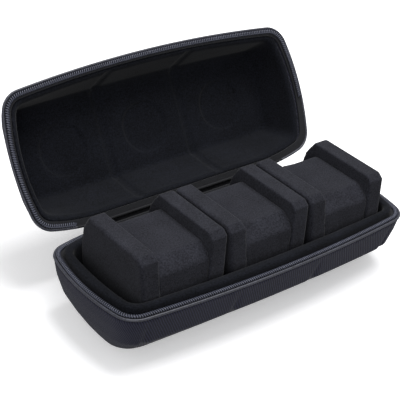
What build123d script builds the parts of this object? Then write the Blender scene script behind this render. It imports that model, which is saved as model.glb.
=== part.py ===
from build123d import *
import os
from math import atan2, degrees, radians, sqrt, tan

# Watch travel case with a zip, standing open. Millimetres, +Z up, length along X.
# The origin is the centre of the flat underside of the base, the front is at -Y,
# and the fabric hinge runs along the back at +Y.

# ---- driving dimensions ---------------------------------------------------------
# plan of the rim, shared by the two halves
rim_length = 268.0
rim_width = 114.0
end_bow = 6.5            # how far each end bulges past its corners
side_bow = 7.5           # the same for the front and for the ends of the back
foot_bow = 2.5           # bow of the long sides at the underside and on top of the lid
foot_end_bow = 2.0       # and of the ends
corner_radius = 18.0
lid_top_radius = 11.0    # the corners of the lid are tighter on top
hinge_length = 150.0     # straight middle of the back, where the halves are joined
open_angle = 121.0       # turn of the lid from shut to the stored position

# base shell
base_height = 48.0       # underside to the plane where the two zip coils meet
base_knee_depth = 28.0   # below that plane: edge between the panels and the chamfers
base_knee_inset = 8.5
base_foot_inset = 29.0   # front and back, at the underside
base_end_start = 0.5     # ends, at the rim
base_end_inset = 17.0    # ends, at the underside
base_end_curve = 2.0     # 1 is a straight lean, more is rounder
shell_wall = 4.0
shell_end_wall = 3.2

# lid shell
lid_height = 41.0
lid_knee_depth = 30.0
lid_knee_inset = 8.5
lid_foot_inset = 19.5
lid_end_start = 3.0
lid_end_inset = 17.7
lid_end_curve = 1.0

# moulded relief of the long sides: one panel to a bay, with a valley at each bay end
valley_depth = 2.6
valley_knee_width = 9.0
valley_foot_width = 24.0
edge_round = 2.0         # soft edge round the underside and the top of the lid

# lining
lining_floor = 1.6
lining_end = 1.2
lip_outer_inset = 6.6
base_lip_inset = 14.0    # inner edge of the padded lip, front and back
base_lip_end_inset = 14.0
pocket_bow = 4.5         # the lip is straighter than the rim
pocket_end_bow = 3.0
pocket_radius = 10.0
base_lip_rise = 3.0      # padded lip above the zip plane
lid_lip_inset = 10.5
lid_lip_end_inset = 12.0
lid_lip_bow = 7.0
lid_lip_radius = 10.0
lid_room_bow = 1.5       # the room is straighter at the ceiling
lid_room_radius = 5.0
lip_gap = 0.4            # between the two lips when the case is shut
lip_round = 2.0
lid_lip_roll = 2.0       # how far the lid's lip rolls inward below its top
lid_ceiling_depth = 34.2
lid_clearance = 1.5      # between the cushions and the room over them
lid_back_shoulder = (19.0, 17.0)     # depth and inset of the padding along the hinge
dial_radius = 20.0
dial_depth = 1.8
bay_groove_width = 7.0
bay_groove_depth = 1.2

# zip
rim_drop = 4.0           # top of each shell below the zip plane
tape_thickness = 1.6
tape_inner_inset = 6.3
binding_width = 1.5
coil_outer_inset = 2.2
coil_inner_inset = 4.4
coil_gap = 0.15          # half of the gap between the two coils when shut
zip_tail = 98.0          # coils stop this far from the middle of the back
base_zip_end = 42.0      # the base coil stops here on the right end
lid_zip_margin = 6.5     # and the lid coil this far in front of the slider's whole travel
stop_length = 4.0

# slider and pull
slider_length = 11.0
slider_plate = 0.8
slider_clearance = 0.3   # above and below the coil
slider_side_play = 0.5
slider_middle = 26.5     # middle of its travel, along the right end towards the back
slider_travel = 9.0
arm_width = 3.6
arm_reach = 2.6          # pull pin outside the rim
pull_width = 7.6
pull_length = 24.0
pull_thickness = 1.6
pin_radius = 0.7
pin_clearance = 0.35

# hinge fabric
hinge_cloth = 1.0
hinge_flap = 13.0
hinge_seam = 1.5         # the bend is sewn on this far down each flap
hinge_offset = 0.6       # hinge line outside the rim

# cushions
cushion_count = 3
cushion_margin = 22.4    # from each tip of the rim to the first bay
cushion_gap = 1.0
cushion_clearance = 0.5
flange_thickness = 14.0
flange_rise = 32.5       # top of the flanges above the zip plane
flange_play = 0.3        # between the flanges and the lip, front and back
flange_lean = 4.0        # each flange flares outward towards its top, degrees
flange_front_top = 31.0  # flat top, from the middle to its front end
flange_back_top = 27.0
flange_front_shoulder = (36.0, 29.0)     # from the middle, and above the zip plane
flange_back_shoulder = (34.5, 21.0)
flange_waist = 2.0       # the sides are upright up to here
flange_edge_round = 1.5
flange_rim_round = 2.5   # outer edge of the flat top
core_recess = 9.0
core_front_recess = 1.2
core_round = 5.0

# ---- values worked out from them -------------------------------------------------
half_length = rim_length / 2
half_width = rim_width / 2
hinge_y = half_width + hinge_offset
cushion_pitch = (rim_length - 2 * cushion_margin) / cushion_count
flange_side = half_width - base_lip_inset - pocket_bow - flange_play
flange_top = base_height + flange_rise
bay_ends = [(i - cushion_count / 2) * cushion_pitch for i in range(cushion_count + 1)]
bay_middles = [(i - (cushion_count - 1) / 2) * cushion_pitch for i in range(cushion_count)]
floor_height = shell_wall + lining_floor
coil_middle = (coil_outer_inset + coil_inner_inset) / 2
coil_width = coil_inner_inset - coil_outer_inset
coil_height = rim_drop - tape_thickness - coil_gap
lid_zip_end = slider_middle - (slider_travel + slider_length) / 2 - lid_zip_margin


class Taper:
    """Inward lean of one shell: two straight runs on the long sides, a curve on the ends."""

    def __init__(self, height, knee_depth, knee_inset, foot_inset, end_start, end_inset, end_curve,
                 foot_radius):
        self.height = height
        self.knee_depth = knee_depth
        self.knee_inset = knee_inset
        self.foot_inset = foot_inset
        self.end_start = end_start
        self.end_inset = end_inset
        self.end_curve = end_curve
        self.foot_radius = foot_radius
        self.panel_slope = knee_inset / knee_depth
        self.chamfer_slope = (foot_inset - knee_inset) / (height - knee_depth)

    def side(self, depth, wall=0.0):
        panel = self.panel_slope * depth + wall * sqrt(1 + self.panel_slope ** 2)
        chamfer = self.knee_inset + self.chamfer_slope * (depth - self.knee_depth)
        return max(panel, chamfer + wall * sqrt(1 + self.chamfer_slope ** 2))

    def end(self, depth, wall=0.0):
        lean = (self.end_inset - self.end_start) * (depth / self.height) ** self.end_curve
        return self.end_start + lean + wall

    def bows(self, depth):
        """Bow of the long sides and of the ends."""
        share = depth / self.height
        return side_bow + (foot_bow - side_bow) * share, end_bow + (foot_end_bow - end_bow) * share

    def radius(self, depth):
        return corner_radius + (self.foot_radius - corner_radius) * depth / self.height

    def knee(self, wall=0.0):
        """Depth at which the two runs meet, that far inside the outer surface."""
        thick = wall * (sqrt(1 + self.chamfer_slope ** 2) - sqrt(1 + self.panel_slope ** 2))
        return self.knee_depth - thick / (self.chamfer_slope - self.panel_slope)


base_taper = Taper(base_height, base_knee_depth, base_knee_inset, base_foot_inset,
                   base_end_start, base_end_inset, base_end_curve, corner_radius)
lid_taper = Taper(lid_height, lid_knee_depth, lid_knee_inset, lid_foot_inset,
                  lid_end_start, lid_end_inset, lid_end_curve, lid_top_radius)


def plan(z, end_inset, front_inset, back_inset, radius, bow=side_bow, tip_bow=end_bow):
    """Bowed plan outline at height z, moved in from the rim by the given amounts."""
    tip_x = half_length - end_inset
    front = half_width - front_inset
    back = half_width - back_inset
    corner_x = tip_x - tip_bow
    corner_front = front - bow
    corner_back = back - bow
    straight = hinge_length / 2
    with BuildSketch(Plane.XY.offset(z)) as outline:
        with BuildLine():
            ThreePointArc((-corner_x, -corner_front), (0, -front), (corner_x, -corner_front))
            ThreePointArc((corner_x, -corner_front), (tip_x, 0), (corner_x, corner_back))
            TangentArc((straight, back), (corner_x, corner_back), tangent=(1, 0))
            Line((straight, back), (-straight, back))
            TangentArc((-straight, back), (-corner_x, corner_back), tangent=(-1, 0))
            ThreePointArc((-corner_x, corner_back), (-tip_x, 0), (-corner_x, -corner_front))
        make_face()
        corners = [v for v in outline.vertices() if abs(abs(v.X) - corner_x) < 0.01]
        fillet(corners, radius)
    return outline.sketch


def inset_plan(z, inset):
    return plan(z, inset, inset, inset, corner_radius - inset)


def tub(levels, up):
    """Solid through plan outlines; a level is its depth and then what plan takes."""
    return loft([plan(base_height + up * depth, *outline) for depth, *outline in levels],
                ruled=True)


def ring(z, height, outer_inset, inner_inset):
    band = inset_plan(z, outer_inset) - inset_plan(z, inner_inset)
    return extrude(band, height)


def bow_share(x):
    """Bulge lost at x, as a share of the bow of the long side."""
    return (x / (half_length - end_bow)) ** 2


# ---- shells ----------------------------------------------------------------------
def outer_levels(taper):
    depths = [rim_drop, 0.5 * taper.knee_depth, taper.knee_depth,
              0.5 * (taper.knee_depth + taper.height), taper.height - edge_round]
    levels = [(d, taper.end(d), taper.side(d), taper.side(d), taper.radius(d), *taper.bows(d))
              for d in depths]
    end = taper.end(taper.height) + 0.5 * edge_round
    foot = taper.side(taper.height) + 0.5 * edge_round
    levels.append((taper.height, end, foot, foot, taper.foot_radius, foot_bow, foot_end_bow))
    return levels


def hollow_levels(taper, start):
    knee = taper.knee(shell_wall)
    bottom = taper.height - shell_wall
    depths = [start, 0.5 * knee, knee, 0.5 * (knee + bottom), bottom]
    return [(d, taper.end(d, shell_end_wall), taper.side(d, shell_wall), taper.side(d, shell_wall),
             taper.radius(d) - shell_wall, *taper.bows(d)) for d in depths]


def valley(x, taper, up):
    """Three-cornered cutter that opens from nothing at the rim to the foot of the panel."""
    outside = 6.0
    shapes = []
    for depth, width in ((rim_drop - 1, 0.4), (taper.knee_depth, valley_knee_width),
                         (taper.height + 0.5, valley_foot_width)):
        surface = half_width - taper.side(depth) - taper.bows(depth)[0] * bow_share(x)
        deep = valley_depth * min(1.0, width / valley_knee_width)
        spread = width / 2 * (deep + outside) / deep
        with BuildSketch(Plane.XY.offset(base_height + up * depth)) as wedge:
            with BuildLine():
                Polyline((x - spread, -surface - outside), (x + spread, -surface - outside),
                         (x, -surface + deep), close=True)
            make_face()
        shapes.append(wedge.sketch)
    return loft(shapes, ruled=True)


def shell(taper, up):
    body = tub(outer_levels(taper), up)
    for x in bay_ends:
        cutter = valley(x, taper, up)
        body -= cutter
        body -= mirror(cutter, Plane.XZ)
    return body - tub(hollow_levels(taper, rim_drop), up)


# ---- linings ---------------------------------------------------------------------
def lip(up, top_depth, inner_inset, inner_end_inset, radius, bow, tip_bow, edge):
    """Padded roll round the mouth, from the rim of the shell to top_depth."""
    z = base_height + up * rim_drop
    outer = inset_plan(z, lip_outer_inset)
    inner = plan(z, inner_end_inset, inner_inset, inner_inset, radius, bow, tip_bow)
    roll = extrude(outer - inner, -up * (rim_drop - top_depth))
    top = base_height + up * top_depth
    rims = [e for e in roll.edges() if abs(e.bounding_box().min.Z - top) < 0.01
            and abs(e.bounding_box().max.Z - top) < 0.01]
    return fillet(rims, edge)


def base_pocket_levels():
    """Room for the cushions: upright walls under the lip, then the chamfers, then the floor."""
    bottom = base_height - floor_height
    foot = base_taper.side(bottom, floor_height)
    bend = bottom - (foot - base_lip_inset) / base_taper.chamfer_slope
    end = max(base_lip_end_inset, base_taper.end(bottom, shell_end_wall + lining_end))
    upright = (base_lip_end_inset, base_lip_inset, base_lip_inset,
               pocket_radius, pocket_bow, pocket_end_bow)
    return [(rim_drop, *upright), (bend, *upright),
            (bottom, end, foot, foot, pocket_radius, *base_taper.bows(bottom))]


def base_lining():
    liner = tub(hollow_levels(base_taper, rim_drop), -1) - tub(base_pocket_levels(), -1)
    return liner + lip(-1, -base_lip_rise, base_lip_inset, base_lip_end_inset, pocket_radius,
                       pocket_bow, pocket_end_bow, lip_round)


def lid_room_levels(grow=0.0):
    """Room over the cushions: rolled lip, steep front, sloped back, flat ceiling."""
    back_depth, back_inset = lid_back_shoulder
    front_y, front_z = flange_front_shoulder
    front_depth = front_z + lid_clearance
    room = lid_clearance + lid_room_bow
    front_inset = half_width - front_y - room
    front_top = half_width - flange_front_top - room
    back_top = half_width - flange_back_top - room
    end_wall = shell_end_wall + lining_end
    share = (front_depth - back_depth) / (lid_ceiling_depth - back_depth)
    crest = lid_lip_inset - lid_lip_roll
    bulge = lid_lip_inset - 0.3 * lid_lip_roll
    low = rim_drop + 1.6 * lid_lip_roll
    levels = [
        (rim_drop, lid_lip_end_inset - lid_lip_roll, crest, crest),
        (rim_drop + 0.6 * lid_lip_roll, lid_lip_end_inset - 0.3 * lid_lip_roll, bulge, bulge),
        (low, lid_lip_end_inset, lid_lip_inset, lid_lip_inset),
        (back_depth, max(lid_lip_end_inset, lid_taper.end(back_depth, end_wall)),
         lid_lip_inset + (front_inset - lid_lip_inset) * (back_depth - low) / (front_depth - low),
         back_inset),
        (front_depth, lid_taper.end(front_depth, end_wall), front_inset,
         back_inset + share * (back_top - back_inset)),
        (lid_ceiling_depth, lid_taper.end(lid_ceiling_depth, end_wall), front_top, back_top)]
    outlines = []
    for depth, end, front, back in levels:
        blend = max(0.0, (depth - low) / (lid_ceiling_depth - low))
        radius = lid_lip_radius + blend * (lid_room_radius - lid_lip_radius)
        bow = lid_lip_bow + blend * (lid_room_bow - lid_lip_bow)
        tip_bow = lid_taper.bows(depth)[1]
        outlines.append((depth + grow * (depth == lid_ceiling_depth), end - grow, front - grow,
                         back - grow, radius, bow, tip_bow))
    return outlines


def lid_lining():
    liner = tub(hollow_levels(lid_taper, rim_drop), 1) - tub(lid_room_levels(), 1)
    ribs = tub(lid_room_levels(bay_groove_depth), 1)
    tall = 2 * lid_height
    for x in bay_ends[1:-1]:
        liner -= ribs & (Pos(x, 0, base_height) * Box(bay_groove_width, 2 * rim_width, tall))
    ceiling = base_height + lid_ceiling_depth
    for x in bay_middles:
        liner -= Pos(x, 0, ceiling) * Cylinder(dial_radius, 2 * dial_depth)
    top_depth = base_lip_rise + lip_gap
    return liner + lip(1, top_depth, lid_lip_inset - lid_lip_roll,
                       lid_lip_end_inset - lid_lip_roll, lid_lip_radius, lid_lip_bow,
                       lid_taper.bows(rim_drop)[1], 0.2 * lid_lip_roll)


# ---- zip -------------------------------------------------------------------------
def zip_tape(up):
    z = base_height + up * rim_drop
    return ring(z, -up * tape_thickness, binding_width, tape_inner_inset)


def edge_binding(up):
    z = base_height + up * rim_drop
    return ring(z, -up * tape_thickness, 0, binding_width)


def zip_coil(up, end_y):
    z = base_height + up * coil_gap
    coil = ring(z, up * coil_height, coil_outer_inset, coil_inner_inset)
    span = Pos(0, half_width, base_height) * Box(2 * zip_tail, rim_width, 4 * rim_drop)
    reach = half_width - end_y
    tail = Pos(half_length, end_y + reach / 2, base_height) * Box(rim_length, reach, 4 * rim_drop)
    return coil - span - tail


def coil_point(y):
    """Place on the middle of the coil along the right end, with its turn about Z."""
    chord = half_width - side_bow - coil_middle
    radius = (chord ** 2 + end_bow ** 2) / (2 * end_bow)
    centre = half_length - coil_middle - radius
    x = centre + sqrt(radius ** 2 - y ** 2)
    return x, degrees(atan2(y, x - centre))


def stop_clip():
    """Metal clip that pinches the coil behind the parked slider."""
    y = base_zip_end + stop_length / 2 + slider_clearance
    x, turn = coil_point(y)
    clip = Box(coil_width, stop_length, coil_height)
    clip = fillet(clip.edges().filter_by(Axis.Y).group_by(Axis.Z)[-1], 0.6)
    z = base_height - coil_gap - coil_height / 2
    return Pos(x, y, z) * Rot(0, 0, turn) * clip


# ---- slider and pull ---------------------------------------------------------------
slider_x, slider_turn = coil_point(slider_middle)
slider_place = (Pos(slider_x, slider_middle, base_height) * Rot(0, 0, slider_turn)
                * Pos(0, slider_travel / 2, 0))
pin_height = -0.3        # from the zip plane
pin_reach = coil_middle + arm_reach
pull_pin = slider_place * Pos(pin_reach, 0, pin_height)


def slider_body():
    """Channel over the coil, with the eye of the pull outside it; x = 0 is the coil's middle."""
    inside = coil_width / 2 + slider_side_play
    outside = inside + slider_plate
    roof = slider_clearance
    top = roof + slider_plate
    low = tape_thickness + slider_clearance - rim_drop
    eye = pin_radius + pin_clearance
    tip = pin_reach + eye + slider_plate
    with BuildSketch(Plane.XZ) as section:
        with BuildLine():
            Polyline((-outside, low), (-inside, low), (-inside, roof), (inside, roof),
                     (inside, low), (tip, low), (tip, top), (-outside, top), close=True)
        make_face()
    body = extrude(section.sketch, slider_length / 2, both=True)
    side = (slider_length - arm_width) / 2
    for way in (-1, 1):
        beside = way * (arm_width + side) / 2
        body -= Pos(outside + tip / 2, beside, 0) * Box(tip, side, 4 * top)
    hole = Pos(pin_reach, 0, pin_height) * Rot(90, 0, 0) * Cylinder(eye, slider_length)
    return slider_place * (body - hole)


def pull_tab():
    """Frame hung in the slider's eye, with the flat grip below it."""
    leg = (pull_width - arm_width - 2 * slider_clearance) / 2
    pin = Rot(90, 0, 0) * Cylinder(pin_radius, pull_width)
    drop = 5.0
    frame = pin
    for way in (-1, 1):
        y = way * (pull_width - leg) / 2
        frame += Pos(0, y, -drop / 2) * Box(2 * pin_radius, leg, drop)
    with BuildSketch(Plane.YZ) as grip:
        with Locations((0, -drop - pull_length / 2 + 2)):
            RectangleRounded(pull_width, pull_length - 4, 2.2)
        with Locations((0, -drop - pull_length + 10)):
            SlotOverall(8, 2.4, rotation=90, mode=Mode.SUBTRACT)
    plate = extrude(grip.sketch, pull_thickness / 2, both=True)
    return pull_pin * (frame + Pos(0, 0, 0.5) * plate)


# ---- fabric hinge --------------------------------------------------------------------
def hinge_strip(taper, up):
    """Cloth flap glued down the back of one shell, under its rim."""
    top = rim_drop + 0.2
    low = top + hinge_flap
    back = [(half_width - taper.side(d), base_height + up * d) for d in (top, low)]
    with BuildSketch(Plane.YZ) as section:
        with BuildLine():
            Polyline(back[0], back[1], (back[1][0] + hinge_cloth, back[1][1]),
                     (back[0][0] + hinge_cloth, back[0][1]), close=True)
        make_face()
    return extrude(section.sketch, hinge_length / 2, both=True)


def opened(piece):
    """Turn a lid piece from shut to the stored, open position."""
    return piece.rotate(Axis((0, hinge_y, base_height), (-1, 0, 0)), open_angle)


def hinge_fold():
    """The bend of the cloth between the two flaps, in the open position."""
    thin = 0.9 * hinge_cloth
    depth = rim_drop + hinge_seam
    over = hinge_cloth + thin / 2 + 0.05
    low = (half_width - base_taper.side(depth) + over, base_height - depth)
    end = opened(Vertex(0, half_width - lid_taper.side(depth) + over, base_height + depth)).center()
    sag = (0.5 * (low[0] + end.Y) + 0.7, 0.5 * (low[1] + end.Z) - 1.3)
    with BuildSketch(Plane.YZ) as section:
        with BuildLine():
            bend = ThreePointArc(low, sag, (end.Y, end.Z))
            offset(bend, thin / 2, side=Side.BOTH)
        make_face()
    return extrude(section.sketch, hinge_length / 2, both=True)


# ---- cushions --------------------------------------------------------------------------
def flange_outline():
    """Section of a flange, as (y, z) from the front foot round to the back foot."""
    low = floor_height + cushion_clearance
    depth = base_height - floor_height
    foot = half_width - base_taper.side(depth, floor_height) - foot_bow - cushion_clearance
    bend = low + (flange_side - foot) / base_taper.chamfer_slope
    front_y, front_z = flange_front_shoulder
    back_y, back_z = flange_back_shoulder
    waist = base_height + flange_waist
    return [(-foot, low), (-flange_side, bend), (-flange_side, waist),
            (-front_y, base_height + front_z), (-flange_front_top, flange_top),
            (flange_back_top, flange_top), (back_y, base_height + back_z),
            (flange_side, waist), (flange_side, bend), (foot, low)]


def core_outline():
    """The flange's section, lowered at the top and a little narrower at the sides."""
    points = flange_outline()
    side = flange_side - core_front_recess
    bend = points[1][1]
    waist = base_height + flange_waist - 0.5 * core_recess
    front_y, front_z = flange_front_shoulder
    back_y, back_z = flange_back_shoulder
    top = flange_top - core_recess
    return [points[0], (-side, bend), (-side, waist),
            (-front_y, base_height + front_z - 1.5 * core_recess),
            (-flange_front_top + 0.7 * core_recess, top), (flange_back_top - 0.5 * core_recess, top),
            (back_y - core_front_recess, base_height + back_z - core_recess),
            (side, waist), (side, bend), points[-1]]


def section_slab(points, round_radius):
    with BuildSketch(Plane.YZ) as section:
        with BuildLine():
            Polyline(*points, close=True)
        make_face()
        fillet(section.vertices(), round_radius)
    return extrude(section.sketch, cushion_pitch, both=True)


def leaning_slice(inner, outer, way):
    """Side view of one piece of a cushion; inner and outer are places along X at its top."""
    drift = flange_top * tan(radians(flange_lean))
    corners = [(inner[0], flange_top), (outer[0], flange_top),
               (outer[0] - outer[1] * drift, 0), (inner[0] - inner[1] * drift, 0)]
    with BuildSketch(Plane.XZ) as side:
        with BuildLine():
            Polyline(*[(way * x, z) for x, z in corners], close=True)
        make_face()
    return extrude(side.sketch, rim_width, both=True)


def cushion_parts(index):
    """Core and two flanges of one cushion, by node name."""
    half = (cushion_pitch - cushion_gap) / 2
    joint = half - flange_thickness
    place = Pos(bay_middles[index], 0, 0)
    name = f"cushion_{index + 1}"
    core = section_slab(core_outline(), core_round) & leaning_slice((-joint, -1), (joint, 1), 1)
    pieces = {f"{name}_core": place * core}
    flange = section_slab(flange_outline(), flange_edge_round)
    for side, way in (("left", -1), ("right", 1)):
        piece = flange & leaning_slice((joint, 1), (half, 1), way)
        edges = piece.edges().filter_by(Axis.Y).group_by(Axis.Z)[-1]
        outer = edges.sort_by(Axis.X, reverse=way > 0)[0]
        pieces[f"{name}_{side}_flange"] = place * fillet(outer, flange_rim_round)
    return pieces


# ---- the case ------------------------------------------------------------------------
parts = {
    "base_shell": shell(base_taper, -1),
    "base_lining": base_lining(),
    "base_edge_binding": edge_binding(-1),
    "base_zip_tape": zip_tape(-1),
    "base_zip_coil": zip_coil(-1, base_zip_end),
    "zip_stop": stop_clip(),
    "hinge_base_flap": hinge_strip(base_taper, -1),
    "hinge_fold": hinge_fold(),
    "hinge_lid_flap": opened(hinge_strip(lid_taper, 1)),
    "lid_shell": opened(shell(lid_taper, 1)),
    "lid_lining": opened(lid_lining()),
    "lid_edge_binding": opened(edge_binding(1)),
    "lid_zip_tape": opened(zip_tape(1)),
    "lid_zip_coil": opened(zip_coil(1, lid_zip_end)),
    "slider_body": slider_body(),
    "pull_tab": pull_tab(),
}
for number in range(cushion_count):
    parts.update(cushion_parts(number))

os.makedirs("parts", exist_ok=True)
for node, solid in parts.items():
    export_step(solid, f"parts/{node}.step")
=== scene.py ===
import bpy, bmesh
from math import atan2, ceil, cos, pi, radians, sin, sqrt
from mathutils import Matrix, Vector, kdtree
from mathutils.bvhtree import BVHTree


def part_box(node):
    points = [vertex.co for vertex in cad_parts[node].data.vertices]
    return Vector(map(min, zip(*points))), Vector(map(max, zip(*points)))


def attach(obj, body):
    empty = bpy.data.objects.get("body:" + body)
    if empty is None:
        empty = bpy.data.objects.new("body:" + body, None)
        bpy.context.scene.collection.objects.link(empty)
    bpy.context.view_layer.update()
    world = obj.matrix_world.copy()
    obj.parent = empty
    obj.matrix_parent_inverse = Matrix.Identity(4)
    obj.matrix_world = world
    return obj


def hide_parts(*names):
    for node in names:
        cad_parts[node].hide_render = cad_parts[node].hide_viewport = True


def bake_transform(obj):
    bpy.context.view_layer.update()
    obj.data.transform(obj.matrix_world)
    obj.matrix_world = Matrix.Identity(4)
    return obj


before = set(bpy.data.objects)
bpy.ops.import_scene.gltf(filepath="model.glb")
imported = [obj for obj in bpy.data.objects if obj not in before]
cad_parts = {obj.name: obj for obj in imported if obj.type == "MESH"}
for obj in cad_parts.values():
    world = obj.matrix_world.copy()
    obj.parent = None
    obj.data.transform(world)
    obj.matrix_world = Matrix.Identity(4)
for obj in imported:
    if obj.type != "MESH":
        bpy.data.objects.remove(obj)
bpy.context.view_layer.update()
bpy.ops.object.select_all(action="DESELECT")

# ---- camera -------------------------------------------------------------------------
# The case is seen from its front left and from above, with a long lens, and the
# camera is turned a little about its line of sight.
azimuth, elevation, roll = radians(-39.86), radians(31.29), radians(4.65)
target = Vector((-0.03672, -0.00110, 0.08596))
distance, lens = 0.83384, 108
back = Vector((sin(azimuth) * cos(elevation), -cos(azimuth) * cos(elevation), sin(elevation)))
bpy.ops.object.camera_add(location=target + back * distance)
camera = bpy.context.object
camera.matrix_world = (Matrix.Translation(target + back * distance)
                       @ back.to_track_quat("Z", "Y").to_matrix().to_4x4()
                       @ Matrix.Rotation(roll, 4, "Z"))
camera.data.lens = lens
camera.data.sensor_width = 36
bpy.context.scene.camera = camera
bpy.ops.object.select_all(action="DESELECT")

# ---- moulded shells -----------------------------------------------------------------
# Two halves of EVA foam, hot-pressed together with a coarse twill on the outside. The mould
# leaves soft edges, panels and chamfers on the long sides, and a valley between the bays.
rim_low, rim_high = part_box("base_edge_binding")
rim_length, rim_width = rim_high[0] - rim_low[0], rim_high[1] - rim_low[1]
end_bow, side_bow, corner_radius = 0.0065, 0.0075, 0.018
hinge_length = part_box("hinge_base_flap")[1][0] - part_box("hinge_base_flap")[0][0]
zip_height = 0.048
hinge_offset = 0.0006    # the lid turns about a line this far behind the rim
hinge_line = Vector((0, rim_width / 2 + hinge_offset, zip_height))
open_turn = radians(121)
to_open = (Matrix.Translation(hinge_line) @ Matrix.Rotation(-open_turn, 4, "X")
           @ Matrix.Translation(-hinge_line))
over_zip = Matrix.Translation((0, 0, 2 * zip_height)) @ Matrix.Scale(-1, 4, (0, 0, 1))
halves = {"base": Matrix.Identity(4), "lid": to_open @ over_zip}


def crossing(centre_a, reach_a, centre_b, reach_b, near):
    """Point at the given reaches from two centres, the one nearer to a corner."""
    gap = centre_b - centre_a
    along = (reach_a ** 2 - reach_b ** 2 + gap.length_squared) / (2 * gap.length)
    aside = sqrt(max(0, reach_a ** 2 - along ** 2))
    foot = centre_a + gap.normalized() * along
    across = Vector((-gap.y, gap.x)).normalized() * aside
    return min((foot + across, foot - across), key=lambda p: (p - near).length)


def arc(centre, radius, start, end, step=0.0008):
    """Points on an arc from start towards end, the short way round."""
    first = atan2(start.y - centre.y, start.x - centre.x)
    turn = (atan2(end.y - centre.y, end.x - centre.x) - first + pi) % (2 * pi) - pi
    count = max(2, ceil(abs(turn) * radius / step))
    return [centre + radius * Vector((cos(first + turn * k / count), sin(first + turn * k / count)))
            for k in range(count)]


def rim_line(inset, step):
    """Closed outline inset from the rim, evenly spaced, from the front round the right end."""
    tip, side = rim_length / 2 - inset, rim_width / 2 - inset
    corner = Vector((tip - end_bow, side - side_bow))
    front_radius = (corner.x ** 2 + side_bow ** 2) / (2 * side_bow)
    end_radius = (corner.y ** 2 + end_bow ** 2) / (2 * end_bow)
    shoulder = corner.x - hinge_length / 2
    back_radius = (shoulder ** 2 + side_bow ** 2) / (2 * side_bow)
    front_centre = Vector((0, front_radius - side))
    end_centre = Vector((tip - end_radius, 0))
    back_centre = Vector((hinge_length / 2, side - back_radius))
    bend = corner_radius - inset
    front_bend = crossing(front_centre, front_radius - bend, end_centre, end_radius - bend,
                          Vector((corner.x, -corner.y)))
    back_bend = crossing(back_centre, back_radius - bend, end_centre, end_radius - bend, corner)
    a = front_centre + (front_bend - front_centre).normalized() * front_radius
    b = end_centre + (front_bend - end_centre).normalized() * end_radius
    c = end_centre + (back_bend - end_centre).normalized() * end_radius
    d = back_centre + (back_bend - back_centre).normalized() * back_radius
    half = arc(front_centre, front_radius, Vector((0, -side)), a) + arc(front_bend, bend, a, b)
    half += arc(end_centre, end_radius, b, c) + arc(back_bend, bend, c, d)
    half += arc(back_centre, back_radius, d, Vector((hinge_length / 2, side)))
    half += [Vector((hinge_length / 2, side)), Vector((0, side))]
    points = half + [Vector((-p.x, p.y)) for p in reversed(half[1:-1])]
    lengths = [0]
    for p, q in zip(points, points[1:] + points[:1]):
        lengths.append(lengths[-1] + (q - p).length)
    count = round(lengths[-1] / step)
    line, k = [], 0
    for i in range(count):
        at = lengths[-1] * i / count
        while lengths[k + 1] < at:
            k += 1
        share = (at - lengths[k]) / (lengths[k + 1] - lengths[k])
        line.append(points[k].lerp(points[(k + 1) % len(points)], share))
    return line


def linear(code):
    """sRGB hex to the linear colour that a shader takes."""
    parts = [int(code[i:i + 2], 16) / 255 for i in (1, 3, 5)]
    return [p / 12.92 if p <= 0.04045 else ((p + 0.055) / 1.055) ** 2.4 for p in parts] + [1]


def add(tree, kind, settings=None, links=None):
    """Adds one node, with its settings and the sockets that feed it."""
    node = tree.nodes.new(kind)
    for name, value in (settings or {}).items():
        if isinstance(name, int) or name in node.inputs:
            node.inputs[name].default_value = value
        else:
            setattr(node, name, value)
    for name, source in (links or {}).items():
        tree.links.new(source, node.inputs[name])
    return node


def coated(name, roughness, specular, sheen=0.0):
    """A new material with its shader's plain values set; returns it, its tree and shader."""
    material = bpy.data.materials.new(name)
    material.use_nodes = True
    shader = material.node_tree.nodes["Principled BSDF"]
    shader.inputs["Roughness"].default_value = roughness
    shader.inputs["Specular IOR Level"].default_value = specular
    shader.inputs["Sheen Weight"].default_value = sheen
    shader.inputs["Sheen Roughness"].default_value = 0.45
    return material, material.node_tree, shader


# Polyester twill, woven in diagonal cords and bonded hot to the foam: the cords catch the
# light on one side. Their real spacing of about 1.5 mm is drawn at 1.9 mm, so that it shows.
twill_cord = 0.0019
twill_lean = 0.5
thread = 0.0011
twill, tree, shader = coated("bonded_twill", 0.6, 0.15, 0.05)
weave = add(tree, "ShaderNodeUVMap", {"uv_map": "weave"}).outputs["UV"]
place = add(tree, "ShaderNodeTexCoord").outputs["Object"]
axes = add(tree, "ShaderNodeSeparateXYZ", None, {"Vector": weave})
slant = add(tree, "ShaderNodeMath", {"operation": "MULTIPLY_ADD", 1: twill_lean},
            {0: axes.outputs["Y"], 2: axes.outputs["X"]})
wobble = add(tree, "ShaderNodeTexNoise", {"Scale": 120, "Detail": 1}, {"Vector": place})
drift = add(tree, "ShaderNodeMath", {"operation": "MULTIPLY_ADD", 1: 0.5 * twill_cord},
            {0: wobble.outputs["Fac"], 2: slant.outputs[0]})
phase = add(tree, "ShaderNodeMath", {"operation": "MULTIPLY", 1: 2 * pi / twill_cord},
            {0: drift.outputs[0]})
cords = add(tree, "ShaderNodeMath", {"operation": "SINE"}, {0: phase.outputs[0]})
yarn = add(tree, "ShaderNodeTexNoise", {"Scale": 1 / thread, "Detail": 2}, {"Vector": place})
relief = add(tree, "ShaderNodeMath", {"operation": "MULTIPLY_ADD", 1: 0.9},
             {0: yarn.outputs["Fac"], 2: cords.outputs[0]})
level = add(tree, "ShaderNodeMapRange", {"From Min": -0.6, "From Max": 1.5},
            {"Value": relief.outputs[0]})
cloud = add(tree, "ShaderNodeTexNoise", {"Scale": 25, "Detail": 2}, {"Vector": place})
tone = add(tree, "ShaderNodeMath", {"operation": "MULTIPLY_ADD", 1: 0.3},
           {0: cloud.outputs["Fac"], 2: level.outputs["Result"]})
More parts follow.
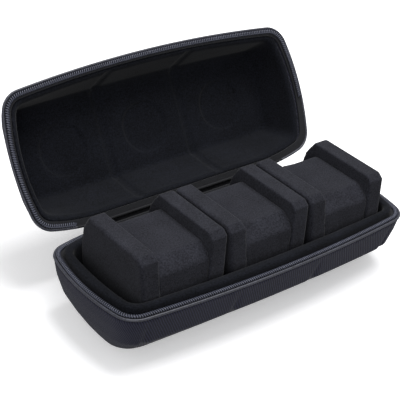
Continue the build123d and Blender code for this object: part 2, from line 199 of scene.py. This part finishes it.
colour = add(tree, "ShaderNodeValToRGB", None, {"Fac": tone.outputs[0]})
colour.color_ramp.elements[0].position = 0.1
colour.color_ramp.elements[0].color = linear("#0E0F15")
colour.color_ramp.elements[1].position = 1.0
colour.color_ramp.elements[1].color = linear("#313244")
bump = add(tree, "ShaderNodeBump", {"Strength": 0.6, "Distance": 0.0004},
           {"Height": relief.outputs[0]})
tree.links.new(colour.outputs["Color"], shader.inputs["Base Color"])
tree.links.new(bump.outputs["Normal"], shader.inputs["Normal"])


def merged_copy(node, name):
    """A copy of the node's mesh in the same place, with its faces joined along their edges."""
    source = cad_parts[node]
    piece = bpy.data.objects.new(name, source.data.copy())
    piece.matrix_world = source.matrix_world
    bpy.context.scene.collection.objects.link(piece)
    mesh = bmesh.new()
    mesh.from_mesh(piece.data)
    bmesh.ops.remove_doubles(mesh, verts=mesh.verts, dist=1e-5)
    mesh.to_mesh(piece.data)
    mesh.free()
    return piece


def soften(piece, voxel, rounds, material):
    """Remeshes the piece evenly, smooths it so that its edges are soft, and covers it."""
    bpy.context.view_layer.objects.active = piece
    piece.select_set(True)
    remesh = piece.modifiers.new("remesh", "REMESH")
    remesh.mode = "VOXEL"
    remesh.voxel_size = voxel
    smooth = piece.modifiers.new("smooth", "SMOOTH")
    smooth.factor = 0.5
    smooth.iterations = rounds
    for modifier in [m.name for m in piece.modifiers]:
        bpy.ops.object.modifier_apply(modifier=modifier)
    bpy.ops.object.shade_smooth()
    piece.select_set(False)
    piece.data.materials.clear()
    piece.data.materials.append(material)


def lay_weave(piece, half, step=0.001, flat_limit=0.85):
    """UV map in metres: length round the rim and height on the walls, diagonal on flat faces."""
    line = rim_line(0, step)
    finder = kdtree.KDTree(len(line))
    for k, p in enumerate(line):
        finder.insert((p.x, p.y, 0), k)
    finder.balance()
    back_to_base = halves[half].inverted()
    mesh = piece.data
    turn = back_to_base.to_3x3()
    round_about = []
    for vertex in mesh.vertices:
        p = back_to_base @ vertex.co
        near, k, gap = finder.find((p.x, p.y, 0))
        ahead = (line[(k + 1) % len(line)] - line[k - 1]).normalized()
        along = k * step + (p.x - line[k].x) * ahead.x + (p.y - line[k].y) * ahead.y
        round_about.append((along, p))
    whole = len(line) * step
    layer = mesh.uv_layers.new(name="weave")
    for face in mesh.polygons:
        flat = abs((turn @ face.normal).z) > flat_limit
        first = round_about[face.vertices[0]][0]
        for index, corner in zip(face.loop_indices, face.vertices):
            along, p = round_about[corner]
            if flat:
                layer.data[index].uv = (p.x - p.y, p.x + p.y)
            else:
                along += whole * round((first - along) / whole)
                layer.data[index].uv = (along, p.z)


shell_voxel, shell_rounds = 0.0013, 5
for half in ("base", "lid"):
    outer = merged_copy(f"{half}_shell", f"{half}_outer")
    soften(outer, shell_voxel, shell_rounds, twill)
    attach(outer, half)
    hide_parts(f"{half}_shell")
    lay_weave(outer, half)

# ---- linings ------------------------------------------------------------------------
# Black tricot velvet bonded to thin foam and pressed into each half: it makes the padded lip
# round the mouth and, in the lid, shallow dishes over the dials and a rib between the bays.
pile = 0.0010
velvet, tree, shader = coated("tricot_velvet", 0.95, 0.1, 0.06)
place = add(tree, "ShaderNodeTexCoord").outputs["Object"]
fleck = add(tree, "ShaderNodeTexNoise", {"Scale": 1 / pile, "Detail": 3, "Roughness": 0.75},
            {"Vector": place})
cloud = add(tree, "ShaderNodeTexNoise", {"Scale": 30, "Detail": 3}, {"Vector": place})
tone = add(tree, "ShaderNodeMath", {"operation": "MULTIPLY_ADD", 1: 0.2},
           {0: cloud.outputs["Fac"], 2: fleck.outputs["Fac"]})
colour = add(tree, "ShaderNodeValToRGB", None, {"Fac": tone.outputs[0]})
colour.color_ramp.elements[0].position = 0.45
colour.color_ramp.elements[0].color = linear("#050608")
colour.color_ramp.elements[1].position = 0.85
colour.color_ramp.elements[1].color = linear("#1D1F27")
bump = add(tree, "ShaderNodeBump", {"Strength": 0.3, "Distance": 0.0003},
           {"Height": fleck.outputs["Fac"]})
tree.links.new(colour.outputs["Color"], shader.inputs["Base Color"])
tree.links.new(bump.outputs["Normal"], shader.inputs["Normal"])

# The lining is thin, so its glued side is first sunk into the shell's wall: after the
# smoothing the shell would show through it otherwise.
lining_voxel, lining_rounds = 0.0012, 5
glue_gap = 0.00005       # a corner this near to the shell is glued
glue_start = 0.006       # the lip, up to this far from the zip plane, stays as it is
glue_depth = 0.0015
for half in ("base", "lid"):
    inner = merged_copy(f"{half}_lining", f"{half}_inner")
    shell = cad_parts[f"{half}_shell"].data
    wall = BVHTree.FromPolygons([v.co for v in shell.vertices],
                                [p.vertices for p in shell.polygons])
    back_to_base = halves[half].inverted()
    mesh = bmesh.new()
    mesh.from_mesh(inner.data)
    mesh.normal_update()
    glued = [v for v in mesh.verts if wall.find_nearest(v.co)[3] < glue_gap
             and zip_height - (back_to_base @ v.co).z > glue_start]
    for v, way in [(v, v.normal.copy()) for v in glued]:
        v.co += way * glue_depth
    mesh.to_mesh(inner.data)
    mesh.free()
    soften(inner, lining_voxel, lining_rounds, velvet)
    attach(inner, half)
    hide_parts(f"{half}_lining")

# ---- zip tape, piping and coil --------------------------------------------------------
# The zip's woven tape is sewn on the shell's edge beside a round piping, and along the hinge
# beside a plain welt. The coil is one nylon thread wound in flat loops on the tape.
tape, tree, shader = coated("woven_tape", 0.8, 0.3, 0.1)
place = add(tree, "ShaderNodeTexCoord").outputs["Object"]
ribs = add(tree, "ShaderNodeTexVoronoi", {"Scale": 1300}, {"Vector": place})
colour = add(tree, "ShaderNodeValToRGB", None, {"Fac": ribs.outputs["Distance"]})
colour.color_ramp.elements[0].color = linear("#1A1B21")
colour.color_ramp.elements[1].color = linear("#08090B")
bump = add(tree, "ShaderNodeBump", {"Strength": 0.5, "Distance": 0.0002, "invert": True},
           {"Height": ribs.outputs["Distance"]})
tree.links.new(colour.outputs["Color"], shader.inputs["Base Color"])
tree.links.new(bump.outputs["Normal"], shader.inputs["Normal"])

# Piping: a cord wrapped in satin-woven polyester. The satin is paler than the twill.
piping, tree, shader = coated("satin_piping", 0.45, 0.5, 0.1)
place = add(tree, "ShaderNodeTexCoord").outputs["Object"]
grain = add(tree, "ShaderNodeTexNoise", {"Scale": 700, "Detail": 2}, {"Vector": place})
colour = add(tree, "ShaderNodeValToRGB", None, {"Fac": grain.outputs["Fac"]})
colour.color_ramp.elements[0].position = 0.3
colour.color_ramp.elements[0].color = linear("#1C1D25")
colour.color_ramp.elements[1].position = 0.75
colour.color_ramp.elements[1].color = linear("#3C3E4A")
tree.links.new(colour.outputs["Color"], shader.inputs["Base Color"])

# Nylon thread, drawn smooth: it shines a little along each loop.
nylon, tree, shader = coated("drawn_nylon", 0.32, 0.5)
place = add(tree, "ShaderNodeTexCoord").outputs["Object"]
dye = add(tree, "ShaderNodeTexNoise", {"Scale": 90, "Detail": 2}, {"Vector": place})
colour = add(tree, "ShaderNodeValToRGB", None, {"Fac": dye.outputs["Fac"]})
colour.color_ramp.elements[0].color = linear("#393B47")
colour.color_ramp.elements[1].color = linear("#565968")
tree.links.new(colour.outputs["Color"], shader.inputs["Base Color"])


def swept(name, points, radius, closed, sides, material, half):
    """A round thread along the points, as a mesh that rides on one half."""
    curve = bpy.data.curves.new(name, "CURVE")
    curve.dimensions = "3D"
    spline = curve.splines.new("POLY")
    spline.points.add(len(points) - 1)
    for curve_point, p in zip(spline.points, points):
        curve_point.co = (*p, 1)
    spline.use_cyclic_u = closed
    curve.bevel_depth = radius
    curve.bevel_resolution = sides
    curve.use_fill_caps = True
    thread_object = bpy.data.objects.new(name, curve)
    bpy.context.scene.collection.objects.link(thread_object)
    bpy.context.view_layer.objects.active = thread_object
    thread_object.select_set(True)
    bpy.ops.object.convert(target="MESH")
    piece = bpy.context.object
    piece.data.transform(halves[half])
    bpy.ops.object.mode_set(mode="EDIT")
    bpy.ops.mesh.select_all(action="SELECT")
    bpy.ops.mesh.normals_make_consistent(inside=False)
    bpy.ops.object.mode_set(mode="OBJECT")
    bpy.ops.object.shade_smooth()
    piece.select_set(False)
    piece.data.materials.clear()
    piece.data.materials.append(material)
    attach(piece, half)
    return piece


tape_depth = 0.0024      # the tapes' upper faces lie this far from the zip plane
tape_top = zip_height - tape_depth
piping_radius, piping_inset, piping_step = 0.00095, 0.0009, 0.002
piping_sink = 0.0001
coil_pitch = 0.0017      # the real loops are about 1.3 mm apart, too fine to show
coil_thread = 0.00042
coil_half_width, coil_half_height = 0.00125, 0.00074
coil_inset = 0.0033
coil_level = tape_top + coil_half_height + coil_thread
loop_points = 8
zip_tail = 0.098         # piping and coil end this far from the middle of the hinge side
coil_end = {"base": 0.042, "lid": 0.010}  # y where the coil ends on the right end
for half in ("base", "lid"):
    edge = [(*p, tape_top - piping_sink) for p in rim_line(piping_inset, piping_step)]
    hinge_side = [k for k, p in enumerate(edge) if p[1] > 0 and abs(p[0]) < zip_tail]
    first, last = hinge_side[0], hinge_side[-1]
    bead = swept(f"{half}_piping", edge[last:] + edge[:first + 1], piping_radius, False, 2,
                 piping, half)
    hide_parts(f"{half}_edge_binding")
    welt = swept(f"{half}_hinge_welt", edge[first:last + 1], piping_radius, False, 2, tape, half)
    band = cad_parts[f"{half}_zip_tape"]
    band.data.materials.clear()
    band.data.materials.append(tape)
    line = rim_line(coil_inset, coil_pitch / loop_points)
    run = []
    for k, p in enumerate(line):
        ahead = (line[(k + 1) % len(line)] - line[k - 1]).normalized()
        inward = Vector((-ahead.y, ahead.x))
        if p.y > 0 and abs(p.x) < zip_tail or p.x > 0 and p.y > coil_end[half]:
            run.append(None)
            continue
        angle = 2 * pi * k / loop_points
        flat = p + inward * coil_half_width * cos(angle)
        run.append((flat.x, flat.y, coil_level + coil_half_height * sin(angle)))
    gap = run.index(None)
    after = len(run) - run[::-1].index(None)
    loops = run[after:] + run[:gap]
    coil = swept(f"{half}_coil", loops, coil_thread, False, 1, nylon, half)
    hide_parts(f"{half}_zip_coil")

# ---- cushions -----------------------------------------------------------------------
# Each cushion is cut from firm foam and covered in grey felt: a core that a strap goes round,
# between two flared flanges. The flanges stay flat faced, and only their edges are rounded.
fibre = 0.0011
felt, tree, shader = coated("needled_felt", 0.95, 0.1, 0.08)
place = add(tree, "ShaderNodeTexCoord").outputs["Object"]
fleck = add(tree, "ShaderNodeTexNoise", {"Scale": 1 / fibre, "Detail": 4, "Roughness": 0.8},
            {"Vector": place})
cloud = add(tree, "ShaderNodeTexNoise", {"Scale": 60, "Detail": 3}, {"Vector": place})
tone = add(tree, "ShaderNodeMath", {"operation": "MULTIPLY_ADD", 1: 0.2},
           {0: cloud.outputs["Fac"], 2: fleck.outputs["Fac"]})
colour = add(tree, "ShaderNodeValToRGB", None, {"Fac": tone.outputs[0]})
colour.color_ramp.elements[0].position = 0.42
colour.color_ramp.elements[0].color = linear("#0E0E12")
colour.color_ramp.elements[1].position = 0.82
colour.color_ramp.elements[1].color = linear("#35363E")
bump = add(tree, "ShaderNodeBump", {"Strength": 0.4, "Distance": 0.0004},
           {"Height": fleck.outputs["Fac"]})
tree.links.new(colour.outputs["Color"], shader.inputs["Base Color"])
tree.links.new(bump.outputs["Normal"], shader.inputs["Normal"])

cushion_voxel, cushion_rounds = 0.0008, 1
for number in (1, 2, 3):
    for part in ("core", "left_flange", "right_flange"):
        pad = merged_copy(f"cushion_{number}_{part}", f"padded_{number}_{part}")
        soften(pad, cushion_voxel, cushion_rounds, felt)
        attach(pad, f"cushion_{number}")
        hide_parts(f"cushion_{number}_{part}")

# ---- hinge cloth --------------------------------------------------------------------
# One strip of strong plain-woven cloth, glued down the back of both shells and free between
# them, where it bends when the lid turns.
strip_thickness = 0.0010
strip_seam = 0.0055      # the free bend starts this far from the zip plane
strip_sag = Vector((0, 0.0014, -0.0026))
wall_lean = {"base": 8.5 / 28, "lid": 8.5 / 30}   # inward per depth, down to the wall's knee
# How deep each row of the flaps lies, and how far off the wall's plane.
flap_steps = [(0.0172, 0.0006), (0.0140, 0.0006), (0.0110, 0.0006), (0.0085, 0.0007),
              (0.0068, 0.0011), (strip_seam, 0.0015)]
flaps = {half: [halves[half] @ Vector((0, rim_width / 2 - wall_lean[half] * depth + off,
                                       zip_height - depth)) for depth, off in flap_steps]
         for half in ("base", "lid")}
seam_low, seam_high = flaps["base"][-1], flaps["lid"][-1]
bend_shares = (0.2, 0.35, 0.5, 0.65, 0.8)
bend = [seam_low.lerp(seam_high, t) + 2 * t * (1 - t) * strip_sag for t in bend_shares]
course = flaps["base"] + bend + flaps["lid"][::-1]
mesh = bmesh.new()
columns = 31
rows = [[mesh.verts.new((hinge_length * (k / (columns - 1) - 0.5), p.y, p.z))
         for k in range(columns)] for p in course]
for low, high in zip(rows, rows[1:]):
    for k in range(columns - 1):
        mesh.faces.new((low[k], low[k + 1], high[k + 1], high[k]))
bmesh.ops.recalc_face_normals(mesh, faces=mesh.faces)
strip = bpy.data.objects.new("hinge_cloth", bpy.data.meshes.new("hinge_cloth"))
mesh.to_mesh(strip.data)
mesh.free()
bpy.context.scene.collection.objects.link(strip)
bpy.context.view_layer.objects.active = strip
strip.select_set(True)
solid = strip.modifiers.new("thickness", "SOLIDIFY")
solid.thickness = strip_thickness
solid.offset = 0
rounder = strip.modifiers.new("round", "SUBSURF")
rounder.levels = rounder.render_levels = 1
for modifier in [m.name for m in strip.modifiers]:
    bpy.ops.object.modifier_apply(modifier=modifier)
bpy.ops.object.shade_smooth()
strip.select_set(False)
strip.data.materials.append(tape)
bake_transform(strip)
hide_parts("hinge_base_flap", "hinge_fold", "hinge_lid_flap")

# ---- slider, pull and stop -------------------------------------------------------------
# Die-cast zinc with a dark coating, rubbed a little brighter in places. The stop is the same
# metal, pinched over the end of the coil.
zinc, tree, shader = coated("coated_zinc", 0.35, 0.5)
shader.inputs["Metallic"].default_value = 0.9
place = add(tree, "ShaderNodeTexCoord").outputs["Object"]
rub = add(tree, "ShaderNodeTexNoise", {"Scale": 300, "Detail": 3}, {"Vector": place})
colour = add(tree, "ShaderNodeValToRGB", None, {"Fac": rub.outputs["Fac"]})
colour.color_ramp.elements[0].position = 0.4
colour.color_ramp.elements[0].color = linear("#2A2B2F")
colour.color_ramp.elements[1].position = 0.8
colour.color_ramp.elements[1].color = linear("#55575D")
tree.links.new(colour.outputs["Color"], shader.inputs["Base Color"])
for node in ("slider_body", "pull_tab", "zip_stop"):
    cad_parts[node].data.materials.clear()
    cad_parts[node].data.materials.append(zinc)

# ---- studio -------------------------------------------------------------------------
# White paper under a large soft lamp from above and a weak one from the left. The camera sees
# it white, and on the case it throws only as much light as grey paper would.
bpy.ops.mesh.primitive_plane_add(size=6, location=(0, 0, 0))
floor = bpy.context.object
floor.name = "floor"
paper = bpy.data.materials.new("white_paper")
paper.use_nodes = True
tree = paper.node_tree
shader = tree.nodes["Principled BSDF"]
shader.inputs["Roughness"].default_value = 0.9
glow = add(tree, "ShaderNodeEmission", {"Color": linear("#FFFFFF"), "Strength": 0.32})
both = add(tree, "ShaderNodeAddShader", None, {0: shader.outputs[0], 1: glow.outputs[0]})
path = add(tree, "ShaderNodeLightPath")
shade = add(tree, "ShaderNodeMix", {"data_type": "RGBA"}, {"Factor": path.outputs["Is Camera Ray"]})
shade.inputs[6].default_value = linear("#6C6C70")
shade.inputs[7].default_value = linear("#F6F6F8")
tree.links.new(shade.outputs[2], shader.inputs["Base Color"])
seen = add(tree, "ShaderNodeMath", {"operation": "MAXIMUM"},
           {0: path.outputs["Is Camera Ray"], 1: path.outputs["Is Glossy Ray"]})
through = add(tree, "ShaderNodeMath", {"operation": "MAXIMUM"},
              {0: seen.outputs[0], 1: path.outputs["Is Transmission Ray"]})
choice = add(tree, "ShaderNodeMixShader", None,
             {0: through.outputs[0], 1: shader.outputs[0], 2: both.outputs[0]})
tree.links.new(choice.outputs[0], tree.nodes["Material Output"].inputs["Surface"])
floor.data.materials.append(paper)
world = bpy.data.worlds.new("studio")
bpy.context.scene.world = world
world.use_nodes = True
tree = world.node_tree
path = add(tree, "ShaderNodeLightPath")
seen = add(tree, "ShaderNodeMath", {"operation": "MAXIMUM"},
           {0: path.outputs["Is Camera Ray"], 1: path.outputs["Is Transmission Ray"]})
bright = add(tree, "ShaderNodeMapRange", {"To Min": 0.5, "To Max": 1.0}, {"Value": seen.outputs[0]})
tree.nodes["Background"].inputs["Color"].default_value = linear("#FFFFFF")
tree.links.new(bright.outputs["Result"], tree.nodes["Background"].inputs["Strength"])


def softbox(name, place, aim, size, power):
    """A square lamp at a place, turned towards its aim."""
    bpy.ops.object.light_add(type="AREA", location=place)
    lamp = bpy.context.object
    lamp.name = name
    lamp.rotation_euler = (Vector(aim) - Vector(place)).to_track_quat("-Z", "Y").to_euler()
    lamp.data.size = size
    lamp.data.energy = power


softbox("key", (0.3, 0.0, 1.45), (0, 0, 0.05), 0.9, 22)
softbox("fill", (-1.0, -0.9, 0.6), (0, 0, 0.05), 1.0, 7)
bpy.context.scene.view_settings.view_transform = "Standard"
